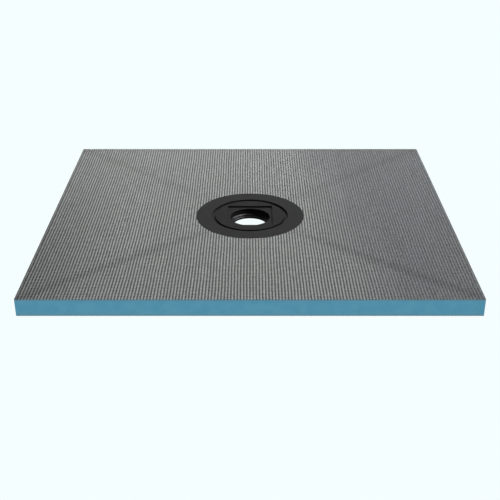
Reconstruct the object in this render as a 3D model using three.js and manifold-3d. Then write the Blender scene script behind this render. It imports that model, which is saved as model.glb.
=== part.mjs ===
import * as THREE from "three";
import { mergeVertices } from "three/addons/utils/BufferGeometryUtils.js";
import Module from "manifold-3d";

// A tileable shower tray: a foam board with falls on its top face, a mesh-reinforced cement coat on both
// faces, and a round plastic drain body let into its middle. Millimetres, +Z up. The origin is the middle
// of the underside, X runs along the longer side, and the front edge is at -Y.

// The board
const trayWidth = 1000;
const trayDepth = 900;
const coreRimThickness = 39.2;
const topCoatThickness = 1;
const undersideCoatThickness = 0.8;
const fallDepth = 10.2; // from the rim down to the drain ring, along every line to the drain

// The drain body: a flat ring, a deep groove inside it, a cup for the grate seat and a collar
const ringRadius = 137.2;
const ringThickness = 3;
const grooveWidth = 8;
const grooveDepth = 7;
const plasticWall = 3;

// The bore from the outlet up: two steps with sloping faces widen it to the collar's own bore
const outletRadius = 43.7;
const outletHeight = 4.3;
const lowerChamferWidth = 2.5;
const lowerChamferRise = 1.7;
const lowerLedgeWidth = 1.3;
const middleHeight = 2.5;
const upperChamferWidth = 3.7;
const upperChamferRise = 2.6;

// The grate seat: a round disc, slightly dished, with a square recess for the grate and a round mouth
const seatRadius = 88.6;
const seatRimDrop = 0.7; // the disc's rim below the drain ring
const seatDish = 0.6; // the disc's flat middle below its rim
const seatFlatRadius = 60;
const seatFloorThickness = 3;
const recessSide = 115;
const recessDepth = 4.5;
const recessCornerRadius = 3;
const mouthOverhang = 0.5; // how far the disc stands in over the collar's bore

// Fits
const turningClearance = 0.3; // between the grate seat and its cup
const bedClearance = 0.4; // between the drain body and the board

// How finely round and warped faces are divided
const raysPerSide = 24;
const fallSteps = 4;
const drainSegments = 120;

// Levels that follow from the sizes
const coreUnderside = undersideCoatThickness;
const coreRim = coreUnderside + coreRimThickness;
const rim = coreRim + topCoatThickness;
const ringTop = rim - fallDepth;
const ringUnderside = ringTop - ringThickness;
const grooveFloor = ringTop - grooveDepth;
const grooveUnderside = grooveFloor - plasticWall;
const seatRim = ringTop - seatRimDrop;
const seatFlat = seatRim - seatDish;
const recessFloor = seatFlat - recessDepth;
const cupFloor = recessFloor - seatFloorThickness;
const cupUnderside = cupFloor - plasticWall;
const lowerLedge = outletHeight + lowerChamferRise;
const middleTop = lowerLedge + middleHeight;
const boreFoot = middleTop + upperChamferRise;

// Radii that follow from the sizes
const cupRadius = seatRadius + turningClearance;
const cupOuterRadius = cupRadius + plasticWall;
const grooveOuterRadius = cupRadius + grooveWidth;
const grooveWallRadius = grooveOuterRadius + plasticWall;
const lowerChamferRadius = outletRadius + lowerChamferWidth;
const middleRadius = lowerChamferRadius + lowerLedgeWidth;
const collarBoreRadius = middleRadius + upperChamferWidth;
const collarOuterRadius = collarBoreRadius + plasticWall;
const mouthRadius = collarBoreRadius - mouthOverhang;
const ringPocketRadius = ringRadius + bedClearance;

const foamMaterial = new THREE.MeshStandardMaterial({ color: 0x518fa7, roughness: 0.9, metalness: 0 });
const coatMaterial = new THREE.MeshStandardMaterial({ color: 0x898a88, roughness: 0.95, metalness: 0 });
const plasticMaterial = new THREE.MeshStandardMaterial({ color: 0x393939, roughness: 0.55, metalness: 0 });

// The directions in which the board is divided: even steps along each side's span of angles, so that the
// four corner directions, where the falls meet in valleys, are always among them.
function boardRays() {
  const corner = Math.atan2(trayDepth, trayWidth);
  const turns = [-corner, corner, Math.PI - corner, Math.PI + corner, 2 * Math.PI - corner];
  const rays = [];
  for (let side = 0; side < 4; side += 1) {
    const span = turns[side + 1] - turns[side];
    for (let step = 0; step < raysPerSide; step += 1) {
      const angle = turns[side] + (span * step) / raysPerSide;
      rays.push({ angle, edge: edgeDistance(angle) });
    }
  }
  return rays;
}

// How far the board's edge is from the middle in a direction.
function edgeDistance(angle) {
  const alongWidth = trayWidth / 2 / Math.abs(Math.cos(angle));
  const alongDepth = trayDepth / 2 / Math.abs(Math.sin(angle));
  return Math.min(alongWidth, alongDepth);
}

// A point of a profile at the board's edge, at one height all round.
function atEdge(height) {
  return (ray) => ({ radius: ray.edge, height });
}

// A point of a profile on a circle, at one height all round.
function atCircle(radius, height) {
  return () => ({ radius, height });
}

// The points of a profile along the falls: straight lines that rise from the ring's pocket to the rim.
// The rim's own height says which of the two parallel faces of the coat it is.
function alongFalls(rimHeight) {
  const points = [];
  for (let step = 0; step <= fallSteps; step += 1) {
    const share = step / fallSteps;
    points.push((ray) => ({
      radius: ringPocketRadius + (ray.edge - ringPocketRadius) * share,
      height: rimHeight - fallDepth * (1 - share),
    }));
  }
  return points;
}

// One closed body with a hole in its middle, swept round from a profile whose points may change from ray
// to ray. The profile runs outwards over the top and back inwards underneath. Each four-sided patch is
// split from its inner corner on one ray to its outer corner on the next, whichever way it faces, so that
// two warped faces that meet have the same triangles.
function sweepRound(profile) {
  const rays = boardRays();
  const positions = [];
  const radii = [];
  for (const ray of rays) {
    for (const point of profile) {
      const { radius, height } = point(ray);
      positions.push(radius * Math.cos(ray.angle), radius * Math.sin(ray.angle), height);
      radii.push(radius);
    }
  }
  const count = profile.length;
  const indices = [];
  for (let ray = 0; ray < rays.length; ray += 1) {
    for (let point = 0; point < count; point += 1) {
      const after = (point + 1) % count;
      const here = ray * count;
      const next = ((ray + 1) % rays.length) * count;
      const [a, b, c, d] = [here + point, here + after, next + after, next + point];
      if (radii[b] >= radii[a]) indices.push(a, b, c, a, c, d);
      else indices.push(a, b, d, b, c, d);
    }
  }
  const geometry = new THREE.BufferGeometry();
  geometry.setAttribute("position", new THREE.Float32BufferAttribute(positions, 3));
  geometry.setIndex(indices);
  geometry.computeVertexNormals();
  return geometry;
}

// A closed body turned round the upright axis from an outline of [radius, height] points, given
// anticlockwise as seen with the radius to the right and the height upwards.
function turnRound(outline) {
  const points = [...outline, outline[0]].map(([radius, height]) => new THREE.Vector2(radius, height));
  const geometry = new THREE.LatheGeometry(points, drainSegments);
  return geometry.rotateX(Math.PI / 2);
}

// Blue foam: falls on top, a flat underside, and a stepped opening that the drain body beds in.
function foamCore() {
  return sweepRound([
    ...alongFalls(coreRim),
    atEdge(coreUnderside),
    atCircle(collarOuterRadius + bedClearance, coreUnderside),
    atCircle(collarOuterRadius + bedClearance, cupUnderside),
    atCircle(cupOuterRadius + bedClearance, cupUnderside),
    atCircle(cupOuterRadius + bedClearance, grooveUnderside),
    atCircle(grooveWallRadius + bedClearance, grooveUnderside),
    atCircle(grooveWallRadius + bedClearance, ringUnderside),
    atCircle(ringPocketRadius, ringUnderside),
  ]);
}

// Grey coat on the falls, one thickness all over, ending at the drain ring.
function topCoat() {
  return sweepRound([...alongFalls(rim), ...alongFalls(coreRim).reverse()]);
}

// Grey coat on the flat underside, pierced for the collar.
function undersideCoat() {
  return sweepRound([
    atCircle(collarOuterRadius + bedClearance, coreUnderside),
    atEdge(coreUnderside),
    atEdge(0),
    atCircle(collarOuterRadius + bedClearance, 0),
  ]);
}

// Black drain body: ring, groove, cup and collar in one moulding.
function drainBody() {
  return turnRound([
    [grooveOuterRadius, ringTop],
    [grooveOuterRadius, grooveFloor],
    [cupRadius, grooveFloor],
    [cupRadius, cupFloor],
    [collarBoreRadius, cupFloor],
    [collarBoreRadius, boreFoot],
    [middleRadius, middleTop],
    [middleRadius, lowerLedge],
    [lowerChamferRadius, lowerLedge],
    [outletRadius, outletHeight],
    [outletRadius, 0],
    [collarOuterRadius, 0],
    [collarOuterRadius, cupUnderside],
    [cupOuterRadius, cupUnderside],
    [cupOuterRadius, grooveUnderside],
    [grooveWallRadius, grooveUnderside],
    [grooveWallRadius, ringUnderside],
    [ringRadius, ringUnderside],
    [ringRadius, ringTop],
  ]);
}

// A square with rounded corners, as a flat shape about the origin.
function roundedSquare(side, cornerRadius) {
  const half = side / 2;
  const straight = half - cornerRadius;
  const shape = new THREE.Shape();
  shape.moveTo(-straight, -half);
  shape.lineTo(straight, -half);
  shape.absarc(straight, -straight, cornerRadius, -Math.PI / 2, 0);
  shape.absarc(straight, straight, cornerRadius, 0, Math.PI / 2);
  shape.absarc(-straight, straight, cornerRadius, Math.PI / 2, Math.PI);
  shape.absarc(-straight, -straight, cornerRadius, Math.PI, 1.5 * Math.PI);
  return shape;
}

// The space that the square grate takes, from the recess floor to well above the disc.
function recessSpace() {
  const depth = ringTop - recessFloor;
  const space = new THREE.ExtrudeGeometry(roundedSquare(recessSide, recessCornerRadius), {
    depth,
    bevelEnabled: false,
    curveSegments: 4,
  });
  return space.translate(0, 0, recessFloor);
}

// Black grate seat: the round disc that drops in the cup.
function grateSeat() {
  const disc = turnRound([
    [seatRadius, cupFloor],
    [seatRadius, seatRim],
    [seatFlatRadius, seatFlat],
    [mouthRadius, seatFlat],
    [mouthRadius, cupFloor],
  ]);
  return cutAway(disc, recessSpace());
}

const wasm = await Module();
wasm.setup();

// A three.js geometry as a solid that can be cut.
function solidOf(geometry) {
  const bare = geometry.clone();
  bare.deleteAttribute("normal");
  bare.deleteAttribute("uv");
  const merged = mergeVertices(bare, 1e-4);
  return new wasm.Manifold(
    new wasm.Mesh({
      numProp: 3,
      vertProperties: merged.attributes.position.array,
      triVerts: new Uint32Array(merged.index.array),
    }),
  );
}

// What is left of one geometry when another is taken out of it.
function cutAway(geometry, cutter) {
  const mesh = solidOf(geometry).subtract(solidOf(cutter)).getMesh();
  const cut = new THREE.BufferGeometry();
  cut.setAttribute("position", new THREE.Float32BufferAttribute(mesh.vertProperties, 3));
  cut.setIndex(Array.from(mesh.triVerts));
  cut.computeVertexNormals();
  return cut;
}

function addPiece(group, name, geometry, material) {
  const piece = new THREE.Mesh(geometry, material);
  piece.name = name;
  group.add(piece);
}

const tray = new THREE.Group();
addPiece(tray, "foam_core", foamCore(), foamMaterial);
addPiece(tray, "top_coat", topCoat(), coatMaterial);
addPiece(tray, "underside_coat", undersideCoat(), coatMaterial);
addPiece(tray, "drain_body", drainBody(), plasticMaterial);
addPiece(tray, "grate_seat", grateSeat(), plasticMaterial);

export default tray;
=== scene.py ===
import math

import bpy
import numpy as np
from bpy.props import FloatProperty, FloatVectorProperty, IntProperty, PointerProperty
from bpy.types import Operator, Panel, PropertyGroup
from mathutils import Euler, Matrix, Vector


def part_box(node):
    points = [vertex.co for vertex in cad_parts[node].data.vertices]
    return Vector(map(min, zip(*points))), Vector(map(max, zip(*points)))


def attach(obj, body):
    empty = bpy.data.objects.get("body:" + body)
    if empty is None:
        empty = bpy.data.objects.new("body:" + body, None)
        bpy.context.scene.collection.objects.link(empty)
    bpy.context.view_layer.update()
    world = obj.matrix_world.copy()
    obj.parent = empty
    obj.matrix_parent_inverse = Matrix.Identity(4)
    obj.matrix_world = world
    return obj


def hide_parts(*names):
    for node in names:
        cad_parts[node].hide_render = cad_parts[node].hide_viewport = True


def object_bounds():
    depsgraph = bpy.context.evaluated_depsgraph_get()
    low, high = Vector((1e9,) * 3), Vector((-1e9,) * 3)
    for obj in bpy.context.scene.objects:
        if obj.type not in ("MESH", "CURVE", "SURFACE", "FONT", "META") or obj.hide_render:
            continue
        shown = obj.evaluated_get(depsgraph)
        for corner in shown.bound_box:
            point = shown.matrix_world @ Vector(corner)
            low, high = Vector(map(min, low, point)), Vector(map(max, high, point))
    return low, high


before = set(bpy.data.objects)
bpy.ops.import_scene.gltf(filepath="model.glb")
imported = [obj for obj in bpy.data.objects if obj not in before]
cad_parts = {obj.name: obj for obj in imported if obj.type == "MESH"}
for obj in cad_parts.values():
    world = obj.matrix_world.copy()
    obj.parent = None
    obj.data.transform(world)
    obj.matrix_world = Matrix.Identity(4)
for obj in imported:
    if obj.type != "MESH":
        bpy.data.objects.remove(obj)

bl_info = {
    "name": "Tileable shower tray",
    "version": (1, 0, 0),
    "blender": (4, 5, 0),
    "location": "3D View > Sidebar > Shower tray",
    "description": "Dresses a foam-cored, cement-coated wet-room tray and its round drain",
    "category": "Object",
}

BODY = "root"

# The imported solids' own boxes, which the sizes below follow
CAD_LOW, CAD_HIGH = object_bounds()
COAT_LOW, COAT_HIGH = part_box("top_coat")
CORE_LOW, CORE_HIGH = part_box("foam_core")
DRAIN_LOW, DRAIN_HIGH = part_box("drain_body")
SEAT_LOW, SEAT_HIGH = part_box("grate_seat")

TRAY_WIDTH = COAT_HIGH.x - COAT_LOW.x
TRAY_DEPTH = COAT_HIGH.y - COAT_LOW.y
RIM = COAT_HIGH.z
COAT_THICKNESS = COAT_HIGH.z - CORE_HIGH.z
RING_TOP = DRAIN_HIGH.z
RING_RADIUS = DRAIN_HIGH.x
SEAT_RIM = SEAT_HIGH.z
SEAT_UNDERSIDE = SEAT_LOW.z
SEAT_RADIUS = SEAT_HIGH.x

COLOUR = {"subtype": "COLOR", "size": 3, "min": 0.0, "max": 1.0}
LENGTH = {"unit": "LENGTH", "precision": 5}
TURN = 2 * math.pi
TINY = 1e-9  # stands in for a distance of nothing, which nothing can be divided by
SHARP_ANGLE = math.radians(50)
SENSOR_WIDTH = 36.0

# The two values that most noise lies between, and how rough its finer layers are
NOISE_SPAN = (0.3, 0.7)
NOISE_ROUGHNESS = 0.55

# Clouds and marks: the size of each in metres, and the values that it runs between
FILLED = {"size": 0.008, "start": -0.15, "end": 0.15}
# The next two wave the edge of the painted shade towards the right and break it into spots
PATCHES = {"size": 0.16, "start": -0.02, "end": 0.02}
RIGHT_SHADE_SPOTS = {"size": 0.008, "span": (0.35, 0.65), "start": 0.35, "end": 1.65}
CEMENT_CLOUDS = {"size": 0.09, "detail": 3.0, "span": (0.35, 0.7)}
GRAIN = {"size": 0.0018, "start": 0.88, "end": 1.1}
SPECKS = {"size": 0.004, "detail": 1.0, "span": (0.66, 0.74), "start": 1.0, "end": 0.72}
FLECKS = {"size": 0.0048, "detail": 1.0, "start": 0.84, "end": 1.16}
FOAM_CLOUDS = {"size": 0.03}
PLASTIC_CLOUDS = {"size": 0.02, "detail": 3.0}
GRIT_SIZE = 0.0009
SKIN_SIZE = 0.0007
FLOOR_GRAIN_SIZE = 0.4
FELT_FIBRE_SIZE = 0.002

# Heights of the weave between which the hollow's colour turns into the thread's
WARP_SPAN = (0.28, 0.72)
WEFT_SPAN = (0.35, 0.95)

# How the threads stray: two waves, with their lengths in metres and their reach in threads
LONG_WAVE_ALONG = 0.213
LONG_WAVE_ACROSS = 0.171
LONG_WAVE_REACH = 0.035
SHORT_WAVE_ALONG = 0.097
SHORT_WAVE_ACROSS = 0.083
SHORT_WAVE_REACH = 0.02

# The painted shade lines along the diagonal valleys: their share of the shade at the ring and at the back,
# and where they fade between
VALLEY_AT_RING = 0.75
VALLEY_AT_BACK = 0.6
VALLEY_FADE = (-0.2, 0.2)

# The left edge's painted shade: its strength at the front and at the back, and the dark line in its last
# millimetres
EDGE_FRONT_SHADE = 0.27
EDGE_BACK_SHADE = 0.06
EDGE_FADE = (-0.3, 0.4)
EDGE_REACH = 0.2
EDGE_LINE = (0.003, 0.009)
EDGE_LINE_TONE = 0.72

# The foam's torn cells, from their middles outwards, and the saw's marks, long beside their pitch
TORN_SPAN = (0.35, 0.75)
SAW_STRETCH = (30.0, 30.0, 1.0)
CELL_HEIGHT = 0.6  # the cells' share of the relief, beside the saw's marks
TORN_ROUGHNESS = 0.1

# The moulding's skin: how much its clouds and sparks change the tone and the roughness
CLOUD_TONE = 0.1
SPARK_TONE = 0.06
CLOUD_ROUGHNESS = 0.12
SPARK_ROUGHNESS = 0.06

# The drain's roundings: what share of a side one may take, and how far its middle is from the corner
ROUNDING_SHARE = 0.4
ROUNDING_MIDDLE = 0.3
CORNER_SPREAD = 2.2  # how far the extra steps reach beside the recess corner's own width
ANGLE_DECIMALS = 6

# The square lamps above the tray: where they hang, what they point at and their sides
TRAY_MIDDLE = (0.0, 0.0, 0.0)
OVERHEAD_PLACE = (-0.1, 0.85, 1.5)
OVERHEAD_TARGET = (-0.1, 0.4, 0.0)
OVERHEAD_SIDE = 0.7
KEY_PLACE = (4.0, 0.0, 6.93)
KEY_SIDE = 1.1
GLINT_PLACE = (3.08, 1.75, 3.54)
GLINT_SIDE = 1.35


class CoatSettings(PropertyGroup):
    """The grey cement coat and the glass mesh that shows through it."""

    ribs_across: IntProperty(
        name="Ribs across", description="Mesh threads over the tray's width", default=146)
    ribs_along: IntProperty(
        name="Ribs along", description="Mesh threads over the tray's depth", default=131)
    steps_per_rib: IntProperty(
        name="Steps per rib", description="Columns of the coat's mesh for each thread across", default=4)
    steps_per_row: IntProperty(
        name="Steps per row", description="Rows of the coat's mesh for each thread along", default=2)
    relief: FloatProperty(
        name="Relief", description="From the crest of a thread to the hollow between threads",
        default=0.00045, **LENGTH)
    weft_share: FloatProperty(
        name="Weft share", description="Height of the cross threads beside the long ones",
        default=0.6, subtype="FACTOR")
    bands: IntProperty(
        name="Bands", description="Pieces that the coat is divided in, side by side", default=4)
    hole_gap: FloatProperty(
        name="Gap round the ring", description="Between the coat's edge and the drain ring",
        default=0.0004, **LENGTH)
    crest_colour: FloatVectorProperty(
        name="Thread colour", description="Where a coated thread stands up", default=(0.386, 0.401, 0.394),
        **COLOUR)
    hollow_colour: FloatVectorProperty(
        name="Hollow colour", description="Cement in the mesh openings", default=(0.027, 0.0305, 0.031),
        **COLOUR)
    # The next six settings paint shade on the right side of the coat: its grey, where it begins and is
    # strongest, its slant, how much of the mesh it flattens and how much darker it makes the coat
    right_shade_colour: FloatVectorProperty(
        name="Buried colour", description="Where a thicker coat hides the mesh",
        default=(0.198, 0.211, 0.227), **COLOUR)
    right_shade_from: FloatProperty(
        name="Buried from", description="Where the thicker coat begins, across the tray", default=0.12,
        **LENGTH)
    right_shade_to: FloatProperty(
        name="Buried to", description="Where the thicker coat is at its thickest", default=0.34, **LENGTH)
    right_shade_slant: FloatProperty(
        name="Buried slant", description="How much further left it reaches for each metre backwards",
        default=0.12)
    right_shade_share: FloatProperty(
        name="Buried share", description="How much of the mesh the thicker coat hides", default=0.5,
        subtype="FACTOR")
    right_shade_darkening: FloatProperty(
        name="Thick shade", description="How much darker the thicker coat is", default=0.2,
        subtype="FACTOR")
    veil_colour: FloatVectorProperty(
        name="Veil colour", description="Thin skim that softens the mesh towards the back",
        default=(0.205, 0.212, 0.21), **COLOUR)
    veil_share: FloatProperty(
        name="Veil share", description="How much of the mesh that skim hides at the back", default=0.13,
        subtype="FACTOR")
    veil_from: FloatProperty(
        name="Veil from", description="Where the skim begins, from front to back", default=-0.2, **LENGTH)
    veil_to: FloatProperty(
        name="Veil to", description="Where the skim is at its thickest", default=0.4, **LENGTH)
    margin: FloatProperty(
        name="Back margin", description="Where the mesh is half skimmed over, along the back edge",
        default=0.02, **LENGTH)
    margin_softness: FloatProperty(
        name="Margin softness", description="How much of that margin it fades over, each way", default=0.2,
        subtype="FACTOR")
    margin_share: FloatProperty(
        name="Margin share", description="How much of the mesh is skimmed over there", default=0.45,
        subtype="FACTOR")
    # Half width of the painted shade lines along the valleys where the falls meet
    valley_width: FloatProperty(
        name="Valley width", description="Half width of the trowelled lines where the falls meet",
        default=0.027, **LENGTH)
    valley_shade: FloatProperty(
        name="Valley shade", description="How much darker those lines are", default=0.165, subtype="FACTOR")
    warm_tint: FloatVectorProperty(
        name="Warm tint", description="Colour of the warmer clouds in the cement",
        default=(1.0, 0.99, 0.98), **COLOUR)
    streaks: FloatProperty(
        name="Streaks", description="How much one thread's tone differs from another's", default=0.06,
        subtype="FACTOR")
    roughness: FloatProperty(
        name="Roughness", description="Roughness of the cement in the hollows", default=0.9,
        subtype="FACTOR")
    thread_polish: FloatProperty(
        name="Thread polish", description="How much smoother the threads are", default=0.08,
        subtype="FACTOR")
    specular: FloatProperty(
        name="Specular", description="Strength of the cement's reflections", default=0.25,
        subtype="FACTOR")


class FoamSettings(PropertyGroup):
    """The blue closed-cell foam board."""

    colour: FloatVectorProperty(
        name="Foam colour", description="Colour of the cut foam", default=(0.0915, 0.3265, 0.475), **COLOUR)
    pale_colour: FloatVectorProperty(
        name="Pale cells", description="Colour of the torn cell walls", default=(0.125, 0.375, 0.52),
        **COLOUR)
    torn_share: FloatProperty(
        name="Torn share", description="How much of that colour the torn cells have", default=0.35,
        subtype="FACTOR")
    cloud_share: FloatProperty(
        name="Cloud share", description="How much of that colour the paler clouds have", default=0.5,
        subtype="FACTOR")
    # The next four settings: a greyer band along the board's upper edge, and painted shade along its lower
    # edge, near the floor
    grey_band_and_shade_colour: FloatVectorProperty(
        name="Smear colour", description="Cement that ran over the edges of the board",
        default=(0.18, 0.17, 0.17), **COLOUR)
    edge_band_height: FloatProperty(
        name="Smear height", description="How far the cement ran over those edges", default=0.006,
        **LENGTH)
    upper_grey_band: FloatProperty(
        name="Upper smear", description="How much of the foam it hides at the upper edge", default=0.38,
        subtype="FACTOR")
    lower_painted_shade: FloatProperty(
        name="Lower smear", description="How much of the foam it hides at the lower edge", default=0.3,
        subtype="FACTOR")
    cell: FloatProperty(
        name="Cell size", description="Size of the cells that the saw opened", default=0.0006, **LENGTH)
    saw_pitch: FloatProperty(
        name="Saw pitch", description="Distance between the saw's marks", default=0.004, **LENGTH)
    roughness: FloatProperty(
        name="Roughness", description="Least roughness of the foam", default=0.85, subtype="FACTOR")
    specular: FloatProperty(
        name="Specular", description="Strength of the foam's reflections", default=0.3, subtype="FACTOR")


class DrainSettings(PropertyGroup):
    """The black moulded drain body and its grate seat."""

    segments: IntProperty(
        name="Segments", description="Steps round the drain's circles", default=192)
    corner_steps: IntProperty(
        name="Corner steps", description="Extra steps round each corner of the square recess", default=8)
    ring_thickness: FloatProperty(
        name="Ring thickness", description="Thickness of the flat ring", default=0.003, **LENGTH)
    groove_width: FloatProperty(
        name="Groove width", description="Width of the groove round the seat", default=0.008, **LENGTH)
    groove_depth: FloatProperty(
        name="Groove depth", description="Depth of the groove below the ring", default=0.007, **LENGTH)
    turning_gap: FloatProperty(
        name="Turning gap", description="Between the grate seat and its cup", default=0.0003, **LENGTH)
    wall: FloatProperty(
        name="Wall", description="Wall thickness of the moulding", default=0.003, **LENGTH)
    outlet_radius: FloatProperty(
        name="Outlet radius", description="Inside of the outlet at the underside", default=0.0437, **LENGTH)
    outlet_height: FloatProperty(
        name="Outlet height", description="Height of the outlet's wall", default=0.0043, **LENGTH)
    lower_chamfer_width: FloatProperty(
        name="Lower chamfer width", description="Sloping face above the outlet", default=0.0025, **LENGTH)
    lower_chamfer_rise: FloatProperty(
        name="Lower chamfer rise", description="Rise of that face", default=0.0017, **LENGTH)
    lower_ledge: FloatProperty(
        name="Lower ledge", description="Flat ledge round that face", default=0.0013, **LENGTH)
    middle_height: FloatProperty(
        name="Middle height", description="Height of the wall between the two steps", default=0.0025,
        **LENGTH)
    upper_chamfer_width: FloatProperty(
        name="Upper chamfer width", description="Sloping face below the collar", default=0.0037, **LENGTH)
    upper_chamfer_rise: FloatProperty(
        name="Upper chamfer rise", description="Rise of that face", default=0.0026, **LENGTH)
    mouth_overhang: FloatProperty(
        name="Mouth overhang", description="How far the seat stands over the collar's bore", default=0.0005,
        **LENGTH)
    seat_dish: FloatProperty(
        name="Seat dish", description="Fall of the seat from its rim to its flat", default=0.0006, **LENGTH)
    seat_flat_radius: FloatProperty(
        name="Seat flat radius", description="Where the seat's fall ends", default=0.060, **LENGTH)
    recess_side: FloatProperty(
        name="Recess side", description="Side of the square grate recess", default=0.115, **LENGTH)
    recess_depth: FloatProperty(
        name="Recess depth", description="Depth of the grate recess", default=0.0045, **LENGTH)
    recess_corner: FloatProperty(
        name="Recess corner", description="Radius of the recess's corners", default=0.003, **LENGTH)
    edge_radius: FloatProperty(
        name="Edge radius", description="Rounding of the moulded edges", default=0.00025, **LENGTH)
    colour: FloatVectorProperty(
        name="Plastic colour", description="Charcoal of the moulding", default=(0.0362, 0.0362, 0.0365),
        **COLOUR)
    seat_colour: FloatVectorProperty(
        name="Seat colour", description="Slightly darker charcoal of the grate seat",
        default=(0.0292, 0.0292, 0.0294), **COLOUR)
    roughness: FloatProperty(
        name="Roughness", description="Mean roughness of the moulded skin", default=0.5, subtype="FACTOR")
    bore_polish: FloatProperty(
        name="Bore polish", description="How much smoother the steps of the bore are", default=0.2,
        subtype="FACTOR")
    specular: FloatProperty(
        name="Specular", description="Strength of the moulding's reflections", default=0.28,
        subtype="FACTOR")


class StageSettings(PropertyGroup):
    """The floor, the lights and the camera."""

    camera_distance: FloatProperty(
        name="Camera distance", description="From the tray's middle, along the floor", default=2.1067,
        **LENGTH)
    camera_height: FloatProperty(
        name="Camera height", description="Above the floor", default=1.0003, **LENGTH)
    camera_pitch: FloatProperty(
        name="Camera pitch", description="Tilt below the horizon", default=math.radians(26.95),
        subtype="ANGLE")
    lens: FloatProperty(
        name="Lens", description="Focal length in millimetres on a 36 mm sensor", default=65.01)
    floor_size: FloatProperty(
        name="Floor size", description="Side of the square floor", default=14.0, **LENGTH)
    pale: FloatVectorProperty(
        name="Pale", description="Cool near-white of the floor and of the room beyond it",
        default=(0.913, 0.991, 1.0), **COLOUR)
    floor_colour: FloatVectorProperty(
        name="Floor colour", description="What the floor gives back of the light on it",
        default=(0.0, 0.0, 0.0), **COLOUR)
    floor_glow: FloatProperty(
        name="Floor glow", description="Light that the floor gives by itself, as a lit table does",
        default=1.0)
    room_light: FloatProperty(
        name="Room light", description="Even light from all round", default=0.055)
    strip_distance: FloatProperty(
        name="Strip distance", description="From the tray's middle to the low lights round it", default=3.2,
        **LENGTH)
    strip_height: FloatProperty(
        name="Strip height", description="Of the low lights above the floor", default=0.045, **LENGTH)
    strip_length: FloatProperty(
        name="Strip length", description="Of each low light", default=3.0, **LENGTH)
    strip_width: FloatProperty(
        name="Strip width", description="Of each low light", default=0.07, **LENGTH)
    strip_power: FloatProperty(
        name="Strip power", description="Of each low light, which reaches the tray's edges only",
        default=20.5)
    overhead_power: FloatProperty(
        name="Overhead power", description="Of the lamp above the back of the tray", default=17.5)
    key_power: FloatProperty(
        name="Key power", description="Of the lamp high on the right", default=236.0)
    glint_power: FloatProperty(
        name="Glint power", description="Of the lamp behind on the right", default=44.0)
    floor_drop: FloatProperty(
        name="Floor drop", description="Of the floor below the tray", default=0.0004, **LENGTH)
    felt_drop: FloatProperty(
        name="Felt drop", description="Of the black disc below the tray", default=0.0002, **LENGTH)
    felt_radius: FloatProperty(
        name="Felt radius", description="Black disc that shades the outlet from below", default=0.050,
        **LENGTH)
    felt_colour: FloatVectorProperty(
        name="Felt colour", description="Colour of that disc", default=(0.002, 0.002, 0.002), **COLOUR)
    felt_steps: IntProperty(
        name="Felt steps", description="Steps round that disc", default=64)


class Signal:
    """A number that changes over a surface: sums written on it become Math nodes."""

    def __init__(self, graph, socket):
        self.graph = graph
        self.socket = socket

    def math(self, operation, *others):
        values = dict(enumerate((self, *others)))
        return self.graph.add("ShaderNodeMath", {"operation": operation}, values)

    def __add__(self, other):
        return self.math("ADD", other)

    __radd__ = __add__

    def __sub__(self, other):
        return self.math("SUBTRACT", other)

    def __rsub__(self, other):
        return self.graph.add("ShaderNodeMath", {"operation": "SUBTRACT"}, {0: other, 1: self})

    def __mul__(self, other):
        return self.math("MULTIPLY", other)

    __rmul__ = __mul__

    def cosine(self):
        return self.math("COSINE")

    def sine(self):
        return self.math("SINE")

    def floor(self):
        return self.math("FLOOR")

    def absolute(self):
        return self.math("ABSOLUTE")

    def greatest(self, other):
        return self.math("MAXIMUM", other)

    def eased(self, low, high, start=0.0, end=1.0):
        """The signal taken smoothly from start to end while it runs from low to high."""
        return self.graph.add(
            "ShaderNodeMapRange",
            {"interpolation_type": "SMOOTHSTEP"},
            {"Value": self, "From Min": low, "From Max": high, "To Min": start, "To Max": end},
        )


class Graph:
    """A node tree under construction: nodes are added by type, settings and socket values."""

    def __init__(self, owner):
        owner.use_nodes = True
        self.tree = owner.node_tree
        self.tree.nodes.clear()

    def node(self, kind, settings=None, inputs=None):
        """A new node: its settings are set first, and then its sockets get values or links."""
        made = self.tree.nodes.new(kind)
        for name, value in (settings or {}).items():
            setattr(made, name, value)
        for name, value in (inputs or {}).items():
            self.feed(made.inputs[name], value)
        return made

    def feed(self, socket, value):
        """Joins a signal to a socket, or sets the socket's own value."""
        if isinstance(value, Signal):
            value = value.socket
        if isinstance(value, bpy.types.NodeSocket):
            self.tree.links.new(value, socket)
        elif socket.type == "RGBA":
            socket.default_value = (*value[:3], 1.0)
        else:
            socket.default_value = value

    def add(self, kind, settings=None, inputs=None):
        """A new node's first output as a signal."""
        return Signal(self, self.node(kind, settings, inputs).outputs[0])


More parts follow.
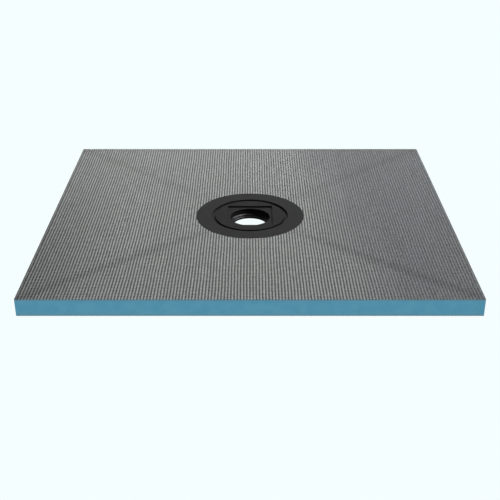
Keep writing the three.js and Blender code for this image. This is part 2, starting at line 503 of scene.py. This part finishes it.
class Finish(Graph):
    """A material under construction, with its patterns placed on the tray in metres."""

    def __init__(self, name):
        self.material = bpy.data.materials.new(name)
        super().__init__(self.material)
        self.place = self.node("ShaderNodeTexCoord").outputs["Object"]
        parts = self.node("ShaderNodeSeparateXYZ", inputs={"Vector": self.place}).outputs
        self.x, self.y, self.z = (Signal(self, part) for part in parts)

    def noise(self, size, detail=2.0, stretch=(1.0, 1.0, 1.0)):
        """Cloudy noise whose patches are about as large as size, stretched along the axes."""
        shares = [1.0 / length for length in stretch]
        scaled = self.node("ShaderNodeVectorMath", {"operation": "MULTIPLY"}, {0: self.place, 1: shares})
        inputs = {
            "Vector": scaled.outputs[0],
            "Scale": 1.0 / size,
            "Detail": detail,
            "Roughness": NOISE_ROUGHNESS,
        }
        return self.add("ShaderNodeTexNoise", None, inputs)

    def mottle(self, size, start=0.0, end=1.0, detail=2.0, span=NOISE_SPAN):
        """Noise taken smoothly from start to end over a span of its values."""
        return self.noise(size, detail).eased(*span, start, end)

    def cells(self, size):
        """Distance to the nearest cell's middle, in cells of one size."""
        return self.add("ShaderNodeTexVoronoi", None, {"Vector": self.place, "Scale": 1.0 / size})

    def chance(self, signal):
        """One random number for each whole value of a signal."""
        return self.add("ShaderNodeTexWhiteNoise", {"noise_dimensions": "1D"}, {"W": signal.floor()})

    def mix(self, share, first, second, blend="MIX"):
        """Two colours mixed by a share."""
        settings = {"data_type": "RGBA", "blend_type": blend}
        return self.node("ShaderNodeMix", settings, {0: share, 6: first, 7: second}).outputs[2]

    def shade(self, colour, grey):
        """A colour made lighter or darker by a number."""
        scaled = self.node("ShaderNodeVectorMath", {"operation": "SCALE"}, {0: colour, "Scale": grey})
        return scaled.outputs[0]

    def bump(self, height, distance, strength=1.0):
        """A normal that follows a height in metres."""
        inputs = {"Height": height, "Distance": distance, "Strength": strength}
        return self.node("ShaderNodeBump", None, inputs).outputs["Normal"]

    def done(self, colour, roughness, normal, specular=0.5, **constants):
        """Joins the signals to the surface shader, whose other sockets hold plain values."""
        inputs = {
            "Base Color": colour,
            "Roughness": roughness,
            "Normal": normal,
            "Specular IOR Level": specular,
            **constants,
        }
        surface = self.node("ShaderNodeBsdfPrincipled", None, inputs)
        output = self.node("ShaderNodeOutputMaterial")
        self.tree.links.new(surface.outputs[0], output.inputs["Surface"])
        return self.material


def mesh_threads(finish, settings):
    """The count of threads from the left edge, and how much of a thread shows, from 0 in a hollow to 1."""
    across = (finish.x + TRAY_WIDTH / 2) * (settings.ribs_across / TRAY_WIDTH)
    across = across + stray(finish.y, finish.x, Signal.sine)
    along = (finish.y + TRAY_DEPTH / 2) * (settings.ribs_along / TRAY_DEPTH)
    along = along + stray(finish.x, finish.y, Signal.sine)
    warp = (wave(across, Signal.cosine) + finish.mottle(**FILLED)).eased(*WARP_SPAN)
    weft = settings.weft_share * wave(along, Signal.cosine).eased(*WEFT_SPAN)
    return across, warp.greatest(weft)


def skimmed_and_shaded_colour(finish, thread, right_shade_mask, settings):
    """The mesh's two colours, mixed towards a darker, flatter grey by painted shade on the right, and
    softened towards the back and at the back edge.
    """
    colour = finish.mix(thread, settings.hollow_colour, settings.crest_colour)
    # Painted shade: towards the right the mesh is mixed into a darker, flatter grey
    right_shade_mix = right_shade_mask * finish.mottle(**RIGHT_SHADE_SPOTS) * settings.right_shade_share
    colour = finish.mix(right_shade_mix, colour, settings.right_shade_colour)
    veil = finish.y.eased(settings.veil_from, settings.veil_to, 0.0, settings.veil_share)
    colour = finish.mix(veil, colour, settings.veil_colour)
    margin_from = settings.margin * (1 - settings.margin_softness)
    margin_to = settings.margin * (1 + settings.margin_softness)
    from_back = TRAY_DEPTH / 2 - finish.y
    margin = from_back.eased(margin_from, margin_to, settings.margin_share, 0.0)
    return finish.mix(margin, colour, settings.veil_colour)


def cement_tone(finish, across, settings):
    """Streaks along the threads, fine grain, dark specks and flecks."""
    streaks = 1 - settings.streaks / 2 + settings.streaks * finish.chance(across)
    return streaks * finish.mottle(**GRAIN) * finish.mottle(**SPECKS) * finish.mottle(**FLECKS)


def valley_painted_shade(finish, settings):
    """Painted shade: darker lines along the diagonals, in the creases where the falls meet."""
    corner = math.atan2(TRAY_DEPTH, TRAY_WIDTH)
    sideways = finish.y.absolute() * math.cos(corner) - finish.x.absolute() * math.sin(corner)
    outwards = finish.x.absolute() * math.cos(corner) + finish.y.absolute() * math.sin(corner)
    half_diagonal = math.hypot(TRAY_WIDTH, TRAY_DEPTH) / 2
    line = sideways.absolute().eased(0.0, settings.valley_width, 1.0, 0.0)
    growing = outwards.eased(RING_RADIUS, half_diagonal / 2, VALLEY_AT_RING, 1.0)
    frontwards = finish.y.eased(*VALLEY_FADE, 1.0, VALLEY_AT_BACK)
    return 1 - settings.valley_shade * (line * growing * frontwards)


def left_edge_shade_and_line(finish):
    """Painted shade darkens the coat towards the left edge, more at the front, and a dark line runs along
    its last few millimetres.
    """
    from_edge = finish.x + TRAY_WIDTH / 2
    shade = finish.y.eased(*EDGE_FADE, EDGE_FRONT_SHADE, EDGE_BACK_SHADE)
    broad = 1 - shade * from_edge.eased(0.0, EDGE_REACH, 1.0, 0.0)
    return broad * from_edge.eased(*EDGE_LINE, EDGE_LINE_TONE, 1.0)


def coat_finish(settings):
    """Dry grey cement over a glass mesh: pale threads, dark hollows, clouds and fine grain, with painted
    shade towards the right, along the diagonal valleys and towards the left edge.
    """
    finish = Finish("mesh_coat")
    across, thread = mesh_threads(finish, settings)
    # Where the painted shade towards the right lies, its edge slanting with depth and waved by patches
    place = finish.x + finish.y * settings.right_shade_slant + finish.mottle(**PATCHES)
    right_shade_mask = place.eased(settings.right_shade_from, settings.right_shade_to)
    colour = skimmed_and_shaded_colour(finish, thread, right_shade_mask, settings)
    warmer = finish.mix(1.0, colour, settings.warm_tint, "MULTIPLY")
    colour = finish.mix(finish.mottle(**CEMENT_CLOUDS), colour, warmer)
    # Painted shade darkens the coat towards the right
    tone = cement_tone(finish, across, settings) * (1 - settings.right_shade_darkening * right_shade_mask)
    # Painted shade along the diagonal valleys and towards the left edge
    tone = tone * valley_painted_shade(finish, settings) * left_edge_shade_and_line(finish)
    roughness = settings.roughness - settings.thread_polish * thread
    grit = finish.bump(finish.noise(GRIT_SIZE, detail=3.0), distance=0.00025, strength=0.5)
    return finish.done(finish.shade(colour, tone), roughness, grit, settings.specular)


def foam_finish(settings):
    """Cut blue foam: tiny open cells, paler torn walls, faint marks of the saw, a greyer band along the
    upper edge and painted shade along the lower edge, near the floor.
    """
    finish = Finish("blue_foam")
    cells = finish.cells(settings.cell)
    torn = cells.eased(*TORN_SPAN)
    pale = torn * settings.torn_share + finish.mottle(**FOAM_CLOUDS) * settings.cloud_share
    colour = finish.mix(pale, settings.colour, settings.pale_colour)
    # A greyer band along the upper edge, and painted shade along the lower edge, near the floor
    above = finish.z.eased(CORE_HIGH.z - settings.edge_band_height, CORE_HIGH.z, 0.0, settings.upper_grey_band)
    below = finish.z.eased(CORE_LOW.z, CORE_LOW.z + settings.edge_band_height, settings.lower_painted_shade, 0.0)
    colour = finish.mix(above + below, colour, settings.grey_band_and_shade_colour)
    saw = finish.noise(settings.saw_pitch, detail=1.0, stretch=SAW_STRETCH)
    height = cells * CELL_HEIGHT + saw * (1 - CELL_HEIGHT)
    cut = finish.bump(height, distance=0.0003, strength=0.5)
    roughness = settings.roughness + TORN_ROUGHNESS * torn
    return finish.done(colour, roughness, cut, settings.specular)


def plastic_finish(name, colour, settings):
    """Charcoal moulded plastic with a fine sparked skin, smoother in the steps of the bore."""
    finish = Finish(name)
    skin = finish.noise(SKIN_SIZE)
    clouds = finish.mottle(**PLASTIC_CLOUDS)
    tone = 1 - SPARK_TONE + CLOUD_TONE * clouds + SPARK_TONE * skin
    step_top = DRAIN_LOW.z + bore_top(settings)
    in_bore = finish.z.eased(step_top, step_top + settings.wall, 1.0, 0.0)
    roughness = settings.roughness + CLOUD_ROUGHNESS * clouds - SPARK_ROUGHNESS * skin
    roughness = roughness - settings.bore_polish * in_bore
    sparks = finish.bump(skin, distance=0.00006, strength=0.6)
    return finish.done(finish.shade(colour, tone), roughness, sparks, settings.specular)


def mesh_of(name, points, faces, material):
    """A new object from arrays of points and of faces, which all have the same number of corners."""
    mesh = bpy.data.meshes.new(name)
    mesh.vertices.add(len(points))
    mesh.vertices.foreach_set("co", np.asarray(points, np.float32).ravel())
    mesh.loops.add(faces.size)
    mesh.loops.foreach_set("vertex_index", faces.astype(np.int32).ravel())
    mesh.polygons.add(len(faces))
    mesh.polygons.foreach_set("loop_start", np.arange(0, faces.size, faces.shape[1], dtype=np.int32))
    mesh.update(calc_edges=True)
    mesh.validate()
    mesh.polygons.foreach_set("use_smooth", np.ones(len(mesh.polygons), bool))
    mesh.set_sharp_from_angle(angle=SHARP_ANGLE)
    mesh.materials.append(material)
    piece = bpy.data.objects.new(name, mesh)
    bpy.context.scene.collection.objects.link(piece)
    return piece


def edge_distance(x, y):
    """How far the tray's edge is from its middle, in the direction of each point."""
    radius = np.maximum(np.hypot(x, y), TINY)
    across = TRAY_WIDTH / 2 * radius / np.maximum(np.abs(x), TINY)
    along = TRAY_DEPTH / 2 * radius / np.maximum(np.abs(y), TINY)
    return np.minimum(across, along)


def fall_height(x, y, hole_radius):
    """Height of the coat's crests: straight lines that rise from the drain ring to the rim."""
    share = (np.hypot(x, y) - hole_radius) / (edge_distance(x, y) - hole_radius)
    return RING_TOP + (RIM - RING_TOP) * np.clip(share, 0.0, 1.0)


def stray(along, across, sine):
    """How far a thread strays sideways, in threads: two slow waves, for arrays and for shaders alike."""
    long_wave = sine(along * (TURN / LONG_WAVE_ALONG) + across * (TURN / LONG_WAVE_ACROSS))
    short_wave = sine(along * (TURN / SHORT_WAVE_ALONG) - across * (TURN / SHORT_WAVE_ACROSS))
    return LONG_WAVE_REACH * long_wave + SHORT_WAVE_REACH * short_wave


def wave(count, cosine):
    """From 0 in a hollow to 1 on a thread, as the count of threads goes on, for arrays and for shaders."""
    return 0.5 - 0.5 * cosine(count * TURN)


def weave(x, y, settings):
    """How high the mesh stands at each point, from 0 in a hollow to 1 on a thread."""
    across = (x / TRAY_WIDTH + 0.5) * settings.ribs_across + stray(y, x, np.sin)
    along = (y / TRAY_DEPTH + 0.5) * settings.ribs_along + stray(x, y, np.sin)
    return np.maximum(wave(across, np.cos), settings.weft_share * wave(along, np.cos))


def with_hole(x, y, hole_radius):
    """Which points of a grid are kept round a hole, with the ones just inside drawn out to its edge."""
    radius = np.hypot(x, y)
    inside = radius < hole_radius
    padded = np.pad(~inside, 1, constant_values=False)
    rows, columns = inside.shape
    touched = np.zeros_like(inside)
    for down in range(3):
        for right in range(3):
            touched |= padded[down:down + rows, right:right + columns]
    edge = inside & touched
    grow = np.where(edge, hole_radius / np.maximum(radius, TINY), 1.0)
    return x * grow, y * grow, inside, edge


def coat_band(first, last, settings):
    """Points and faces of one closed band of the coat, between two of its hollows."""
    hole_radius = RING_RADIUS + settings.hole_gap
    per_rib = settings.steps_per_rib
    per_row = settings.steps_per_row
    columns = np.arange(first * per_rib, last * per_rib + 1)
    rows = np.arange(settings.ribs_along * per_row + 1)
    even_x, even_y = np.meshgrid(
        columns / (per_rib * settings.ribs_across) * TRAY_WIDTH - TRAY_WIDTH / 2,
        rows / (per_row * settings.ribs_along) * TRAY_DEPTH - TRAY_DEPTH / 2)
    x, y, inside, edge = with_hole(even_x, even_y, hole_radius)
    crest = fall_height(x, y, hole_radius)
    halfway = 0.5
    stands = np.where(edge, halfway, weave(even_x, even_y, settings))
    top = crest - settings.relief * (1 - stands)
    under = crest - COAT_THICKNESS
    number = np.arange(x.size).reshape(x.shape)
    corners = np.stack(
        [number[:-1, :-1], number[:-1, 1:], number[1:, 1:], number[1:, :-1]], axis=-1).reshape(-1, 4)
    kept = (~inside | edge).ravel()
    outside = (~inside).ravel()
    faces = corners[kept[corners].all(axis=1) & outside[corners].any(axis=1)]
    used = np.unique(faces)
    order = np.full(x.size, -1)
    order[used] = np.arange(len(used))
    faces = order[faces]
    plan = np.stack([x.ravel()[used], y.ravel()[used]], axis=-1)
    upper = np.column_stack([plan, top.ravel()[used]])
    lower = np.column_stack([plan, under.ravel()[used]])
    walls = rim_walls(faces, len(used))
    return np.vstack([upper, lower]), np.vstack([faces, faces[:, ::-1] + len(used), walls])


def rim_walls(faces, count):
    """Upright faces that close a sheet's open edges down to its copy, whose points follow by count."""
    starts = faces.ravel()
    ends = np.roll(faces, -1, axis=1).ravel()
    low, high = np.minimum(starts, ends), np.maximum(starts, ends)
    _, first, times = np.unique(low * count + high, return_index=True, return_counts=True)
    single = first[times == 1]
    a, b = starts[single], ends[single]
    return np.column_stack([a, a + count, b + count, b])


def swept_ring(name, angles, radii, heights, material):
    """A closed ring swept from a profile, with one row of radii for each angle.

    A profile that runs anticlockwise, as seen with the radius to the right, makes faces that point out.
    """
    rows, count = radii.shape
    x = radii * np.cos(angles)[:, None]
    y = radii * np.sin(angles)[:, None]
    points = np.stack([x, y, np.broadcast_to(heights, radii.shape)], axis=-1).reshape(-1, 3)
    number = np.arange(rows * count).reshape(rows, count)
    after = np.roll(number, -1, axis=1)
    turned = np.roll(number, -1, axis=0)
    turned_after = np.roll(turned, -1, axis=1)
    faces = np.stack([number, turned, turned_after, after], axis=-1).reshape(-1, 4)
    piece = mesh_of(name, points, faces, material)
    flat = piece.modifiers.new("flat_faces", "WEIGHTED_NORMAL")
    flat.keep_sharp = True
    return piece


def rounded(outline, radius, steps=3):
    """An outline of (radius, height) corners with each corner rounded off."""
    corners = np.array(outline)
    points = []
    for before, corner, after in zip(np.roll(corners, 1, axis=0), corners, np.roll(corners, -1, axis=0)):
        back = before - corner
        ahead = after - corner
        shorter = min(np.linalg.norm(back), np.linalg.norm(ahead))
        reach = min(radius, ROUNDING_SHARE * shorter)
        start = corner + back / np.linalg.norm(back) * reach
        end = corner + ahead / np.linalg.norm(ahead) * reach
        for step in range(steps + 1):
            share = step / steps
            points.append((1 - share) ** 2 * start + 2 * share * (1 - share) * corner + share ** 2 * end)
    return np.array(points)


def even_angles(count):
    """Angles at even steps round a full turn."""
    return np.arange(count) / count * TURN


def bore_top(settings):
    """How far the top of the bore's upper step is above the underside."""
    lower_step = settings.outlet_height + settings.lower_chamfer_rise
    return lower_step + settings.middle_height + settings.upper_chamfer_rise


def bore_radii(settings):
    """The bore's three radii from the outlet up, which widen by the steps between them."""
    middle = settings.outlet_radius + settings.lower_chamfer_width + settings.lower_ledge
    return settings.outlet_radius, middle, middle + settings.upper_chamfer_width


def dress_drain_body(settings, material):
    """The ring, its groove, the cup and the collar with its stepped bore."""
    outlet, middle, bore = bore_radii(settings)
    cup = SEAT_RADIUS + settings.turning_gap
    groove_outer = cup + settings.groove_width
    groove_floor = RING_TOP - settings.groove_depth
    groove_under = groove_floor - settings.wall
    ring_under = RING_TOP - settings.ring_thickness
    cup_under = SEAT_UNDERSIDE - settings.wall
    lower_ledge = DRAIN_LOW.z + settings.outlet_height + settings.lower_chamfer_rise
    upper_edge = lower_ledge + settings.middle_height
    outline = [
        (groove_outer, RING_TOP),
        (groove_outer, groove_floor),
        (cup, groove_floor),
        (cup, SEAT_UNDERSIDE),
        (bore, SEAT_UNDERSIDE),
        (bore, DRAIN_LOW.z + bore_top(settings)),
        (middle, upper_edge),
        (middle, lower_ledge),
        (outlet + settings.lower_chamfer_width, lower_ledge),
        (outlet, DRAIN_LOW.z + settings.outlet_height),
        (outlet, DRAIN_LOW.z),
        (bore + settings.wall, DRAIN_LOW.z),
        (bore + settings.wall, cup_under),
        (cup + settings.wall, cup_under),
        (cup + settings.wall, groove_under),
        (groove_outer + settings.wall, groove_under),
        (groove_outer + settings.wall, ring_under),
        (RING_RADIUS, ring_under),
        (RING_RADIUS, RING_TOP),
    ]
    profile = rounded(outline, settings.edge_radius)
    angles = even_angles(settings.segments)
    radii = np.broadcast_to(profile[:, 0], (len(angles), len(profile)))
    return swept_ring("drain_moulding", angles, radii, profile[:, 1], material)


def square_distance(angles, side, corner):
    """How far the edge of a square with rounded corners is from its middle, in each direction."""
    half = side / 2
    straight = half - corner
    cosine = np.abs(np.cos(angles))
    sine = np.abs(np.sin(angles))
    flat = half / np.maximum(cosine, sine)
    on_corner = flat * np.minimum(cosine, sine) > straight
    reach = straight * (cosine + sine)
    arc = reach + np.sqrt(np.maximum(reach ** 2 - 2 * straight ** 2 + corner ** 2, 0.0))
    return np.where(on_corner, arc, flat)


def recess_angles(settings):
    """Even steps round the seat, with extra ones over the corners of its square recess."""
    spread = math.atan(settings.recess_corner / settings.recess_side) * CORNER_SPREAD
    extra = np.linspace(-spread, spread, settings.corner_steps * 2 + 1)
    corners = math.pi / 4 + even_angles(4)
    angles = np.concatenate([even_angles(settings.segments), (corners[:, None] + extra).ravel()])
    return np.unique(np.round(angles % TURN, ANGLE_DECIMALS))


def dress_grate_seat(settings, material):
    """The dished disc with its square recess and round mouth.

    Its profile runs clockwise, so its faces point into the disc.
    """
    angles = recess_angles(settings)
    square = square_distance(angles, settings.recess_side, settings.recess_corner)
    flat = SEAT_RIM - settings.seat_dish
    floor = flat - settings.recess_depth
    edge = settings.edge_radius
    middle = edge * ROUNDING_MIDDLE
    foot = edge / 2
    mouth = bore_radii(settings)[2] - settings.mouth_overhang
    slope = settings.seat_dish / (SEAT_RADIUS - settings.seat_flat_radius)
    lip = flat + slope * np.maximum(square - settings.seat_flat_radius, 0.0)
    profile = [
        (mouth + middle, floor - middle),
        (mouth + edge, floor),
        (square - foot, floor),
        (square, floor + foot),
        (square, lip - edge),
        (square + middle, lip - middle),
        (square + edge, lip + slope * edge),
        (SEAT_RADIUS - edge, SEAT_RIM),
        (SEAT_RADIUS - middle, SEAT_RIM - middle),
        (SEAT_RADIUS, SEAT_RIM - edge),
        (SEAT_RADIUS, SEAT_UNDERSIDE + edge),
        (SEAT_RADIUS - edge, SEAT_UNDERSIDE),
        (mouth + edge, SEAT_UNDERSIDE),
        (mouth, SEAT_UNDERSIDE + edge),
        (mouth, floor - edge),
    ]
    radii = np.column_stack([np.broadcast_to(radius, square.shape) for radius, _ in profile])
    heights = np.column_stack([np.broadcast_to(height, square.shape) for _, height in profile])
    return swept_ring("grate_seat_disc", angles, radii, heights, material)


def aim(thing, location, target):
    """Puts a light somewhere, pointing at a place."""
    thing.location = location
    back = np.array(location) - np.array(target)
    side = math.atan2(back[0], -back[1])
    tilt = math.atan2(math.hypot(back[0], back[1]), back[2])
    thing.rotation_euler = Euler((tilt, 0.0, side))


def soft_light(name, location, target, width, height, power):
    """An area light of a width and a height, unseen by the camera."""
    lamp = bpy.data.lights.new(name, "AREA")
    lamp.shape = "RECTANGLE"
    lamp.size = width
    lamp.size_y = height
    lamp.energy = power
    light = bpy.data.objects.new(name, lamp)
    light.visible_camera = False
    bpy.context.scene.collection.objects.link(light)
    aim(light, location, target)
    return light


def floor_finish(settings):
    """A lit white table: it gives only its own even glow, so no shadow shows on it."""
    finish = Finish("pale_floor")
    grain = finish.noise(FLOOR_GRAIN_SIZE)
    normal = finish.bump(grain, distance=0.0001, strength=0.1)
    glow = {"Emission Color": settings.pale, "Emission Strength": settings.floor_glow}
    return finish.done(settings.floor_colour, 1.0, normal, specular=0.0, **glow)


def lay_floor(settings):
    """The lit table that the tray lies on."""
    half = settings.floor_size / 2
    points = np.array([(-half, -half, 0.0), (half, -half, 0.0), (half, half, 0.0), (-half, half, 0.0)])
    floor = mesh_of("floor", points, np.array([[0, 1, 2, 3]]), floor_finish(settings))
    floor.location.z = CAD_LOW.z - settings.floor_drop


def light_room(settings):
    """Even light from all round, behind a background of the floor's own colour."""
    world = bpy.data.worlds.new("soft_room")
    graph = Graph(world)
    seen = graph.node("ShaderNodeLightPath").outputs["Is Camera Ray"]
    even = {"Color": (1.0, 1.0, 1.0), "Strength": settings.room_light}
    light = graph.node("ShaderNodeBackground", None, even)
    backdrop = graph.node("ShaderNodeBackground", None, {"Color": settings.pale, "Strength": 1.0})
    inputs = {0: seen, 1: light.outputs[0], 2: backdrop.outputs[0]}
    surface = graph.node("ShaderNodeMixShader", None, inputs).outputs[0]
    graph.node("ShaderNodeOutputWorld", None, {"Surface": surface})
    bpy.context.scene.world = world


def set_camera(settings):
    """The camera in front of the tray, looking down on it."""
    lens = bpy.data.cameras.new("camera")
    lens.lens = settings.lens
    lens.sensor_width = SENSOR_WIDTH
    camera = bpy.data.objects.new("camera", lens)
    bpy.context.scene.collection.objects.link(camera)
    camera.location = (0.0, -settings.camera_distance, settings.camera_height)
    camera.rotation_euler = Euler((math.pi / 2 - settings.camera_pitch, 0.0, 0.0))
    bpy.context.scene.camera = camera


def shade_outlet(settings):
    """A black disc under the outlet, unseen by the camera, that keeps the table's glow out of the bore."""
    finish = Finish("black_felt")
    colour = finish.shade(settings.felt_colour, 0.5 + finish.noise(FELT_FIBRE_SIZE))
    nap = finish.bump(finish.noise(FELT_FIBRE_SIZE / 2), distance=0.0001)
    felt = finish.done(colour, 1.0, nap)
    angles = even_angles(settings.felt_steps)[:, None]
    points = np.column_stack([np.cos(angles), np.sin(angles), np.zeros_like(angles)]) * settings.felt_radius
    disc = mesh_of("outlet_felt", points, np.arange(settings.felt_steps)[None, :], felt)
    disc.location.z = CAD_LOW.z - settings.felt_drop
    disc.visible_camera = False


def hang_lights(settings):
    """Three lamps above the tray, and a low strip of light along each of its edges."""
    overhead = soft_light("overhead", OVERHEAD_PLACE, OVERHEAD_TARGET, OVERHEAD_SIDE, OVERHEAD_SIDE,
                          settings.overhead_power)
    overhead.visible_glossy = False
    soft_light("key", KEY_PLACE, TRAY_MIDDLE, KEY_SIDE, KEY_SIDE, settings.key_power)
    soft_light("glint", GLINT_PLACE, TRAY_MIDDLE, GLINT_SIDE, GLINT_SIDE, settings.glint_power)
    target = (0.0, 0.0, settings.strip_height)
    for turn in even_angles(4):
        x = settings.strip_distance * math.cos(turn)
        y = settings.strip_distance * math.sin(turn)
        place = (x, y, settings.strip_height)
        soft_light("low_strip", place, target, settings.strip_length, settings.strip_width,
                   settings.strip_power)


class TRAY_OT_stage(Operator):
    """Lays the floor, hangs the lights and sets the camera"""

    bl_idname = "shower_tray.stage"
    bl_label = "Stage"

    def execute(self, context):
        settings = context.scene.tray_stage
        lay_floor(settings)
        shade_outlet(settings)
        light_room(settings)
        hang_lights(settings)
        set_camera(settings)
        context.scene.view_settings.view_transform = "Standard"
        return {"FINISHED"}


class TRAY_OT_foam_core(Operator):
    """Finishes the blue foam board"""

    bl_idname = "shower_tray.foam_core"
    bl_label = "Foam core"

    def execute(self, context):
        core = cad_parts["foam_core"]
        core.data.materials.clear()
        core.data.materials.append(foam_finish(context.scene.tray_foam))
        return {"FINISHED"}


class TRAY_OT_coats(Operator):
    """Makes the ribbed coat on the falls, band by band, and finishes the coat underneath"""

    bl_idname = "shower_tray.coats"
    bl_label = "Cement coats"

    def execute(self, context):
        settings = context.scene.tray_coat
        material = coat_finish(settings)
        stops = np.round(np.linspace(0, settings.ribs_across, settings.bands + 1)).astype(int)
        for index, (first, last) in enumerate(zip(stops[:-1], stops[1:])):
            points, faces = coat_band(int(first), int(last), settings)
            band = mesh_of(f"top_coat_band_{index + 1}", points, faces, material)
            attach(band, BODY)
            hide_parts("top_coat")
        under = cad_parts["underside_coat"]
        under.data.materials.clear()
        under.data.materials.append(material)
        return {"FINISHED"}


class TRAY_OT_drain(Operator):
    """Makes the drain body and the grate seat with rounded edges"""

    bl_idname = "shower_tray.drain"
    bl_label = "Drain"

    def execute(self, context):
        settings = context.scene.tray_drain
        moulding = dress_drain_body(settings, plastic_finish("body_plastic", settings.colour, settings))
        seat = dress_grate_seat(settings, plastic_finish("seat_plastic", settings.seat_colour, settings))
        for piece, node in ((moulding, "drain_body"), (seat, "grate_seat")):
            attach(piece, BODY)
            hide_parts(node)
        return {"FINISHED"}


class TRAY_PT_panel(Panel):
    """Lists what the tray is made of"""

    bl_label = "Shower tray"
    bl_idname = "TRAY_PT_panel"
    bl_space_type = "VIEW_3D"
    bl_region_type = "UI"
    bl_category = "Shower tray"

    def draw(self, context):
        for operator in OPERATORS:
            self.layout.operator(operator.bl_idname)


OPERATORS = (TRAY_OT_stage, TRAY_OT_foam_core, TRAY_OT_coats, TRAY_OT_drain)
SETTINGS = {
    "tray_coat": CoatSettings,
    "tray_foam": FoamSettings,
    "tray_drain": DrainSettings,
    "tray_stage": StageSettings,
}
CLASSES = (*SETTINGS.values(), *OPERATORS, TRAY_PT_panel)


def register():
    for made in CLASSES:
        bpy.utils.register_class(made)
    for name, group in SETTINGS.items():
        setattr(bpy.types.Scene, name, PointerProperty(type=group))


def unregister():
    for name in SETTINGS:
        delattr(bpy.types.Scene, name)
    for made in reversed(CLASSES):
        bpy.utils.unregister_class(made)


def main():
    register()
    bpy.ops.shower_tray.stage()
    bpy.ops.shower_tray.foam_core()
    bpy.ops.shower_tray.coats()
    bpy.ops.shower_tray.drain()


if __name__ == "__main__":
    main()
